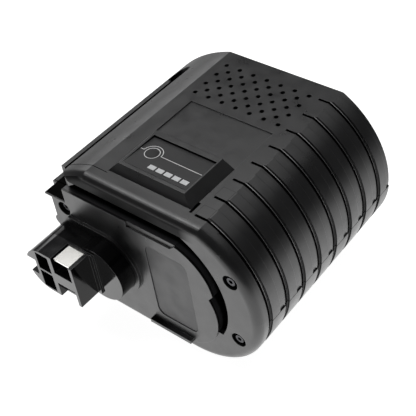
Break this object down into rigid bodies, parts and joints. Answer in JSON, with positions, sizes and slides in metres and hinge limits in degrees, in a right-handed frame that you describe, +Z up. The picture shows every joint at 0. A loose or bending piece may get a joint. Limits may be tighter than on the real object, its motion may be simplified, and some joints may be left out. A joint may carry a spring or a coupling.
{
  "type": "power tool battery pack",
  "caption": "Slide-in cordless tool battery pack with a contact tower, a ribbed round side, a vented flat top and a push-to-check charge gauge.",
  "frame": {"origin": "middle of the pack's footprint, on the flat underside", "axes": "+X towards the round ribbed side, -Y towards the connector end that plugs into the tool, +Z up out of the flat top with the charge gauge"},
  "size_m": [0.125, 0.1298, 0.0888],
  "materials": {
    "body_black": "satin, fine grain",
    "cap_black": "satin, fine grain",
    "tower_black": "satin",
    "nickel": "bright nickel plate",
    "screw_black": "black oxide",
    "label_black": "printed film, bare",
    "film_black": "gloss film",
    "key_black": "satin",
    "clear": "clear moulding",
    "led_body": "gloss",
    "circuit_green": "solder mask",
    "chip_black": "matte",
    "resistor_body": "matte",
    "switch_body": "matte",
    "steel": "zinc plated",
    "cell_can": "nickel-plated can",
    "sleeve": "shrink film",
    "strap": "nickel strip",
    "fibre_card": "fibre card",
    "frame_grey": "moulded",
    "foam": "foam",
    "sensor": "epoxy",
    "wire_red": "insulation",
    "wire_black": "insulation",
    "wire_yellow": "insulation",
    "wire_blue": "insulation"
  },
  "bodies": {
    "pack": {"top_shell": "body_black", "bottom_shell": "body_black", "front_cap": "cap_black", "connector_tower": "tower_black", "positive_contact": "nickel", "negative_contact": "nickel", "signal_contacts": "nickel", "cap_screws": "screw_black", "rating_label": "label_black", "gauge_film": "film_black", "light_pipe": "clear", "gauge_leds": "led_body", "gauge_switch": "switch_body", "gauge_board": "circuit_green", "board_screws": "steel", "gauge_chip": "chip_black", "gauge_resistors": "resistor_body", "front_cells": "cell_can", "rear_cells": "cell_can", "front_sleeves": "sleeve", "rear_sleeves": "sleeve", "cell_links": "strap", "front_straps": "strap", "rear_straps": "strap", "positive_tab": "strap", "negative_tab": "strap", "rear_card": "fibre_card", "spacer_frame": "frame_grey", "side_pads": "foam", "thermal_cutout": "sensor", "thermistor": "sensor", "positive_lead": "wire_red", "negative_lead": "wire_black", "signal_leads": "wire_yellow", "gauge_leads": "wire_blue"},
    "button": {"gauge_button": "key_black", "switch_plunger": "switch_body"}
  },
  "joints": [
    {"name": "button_press", "type": "slide", "parent": "pack", "child": "button", "axis": [0, -0.049, -0.9988], "range_m": [0, 0.0005], "stiffness_N_per_m": 1500}
  ]
}
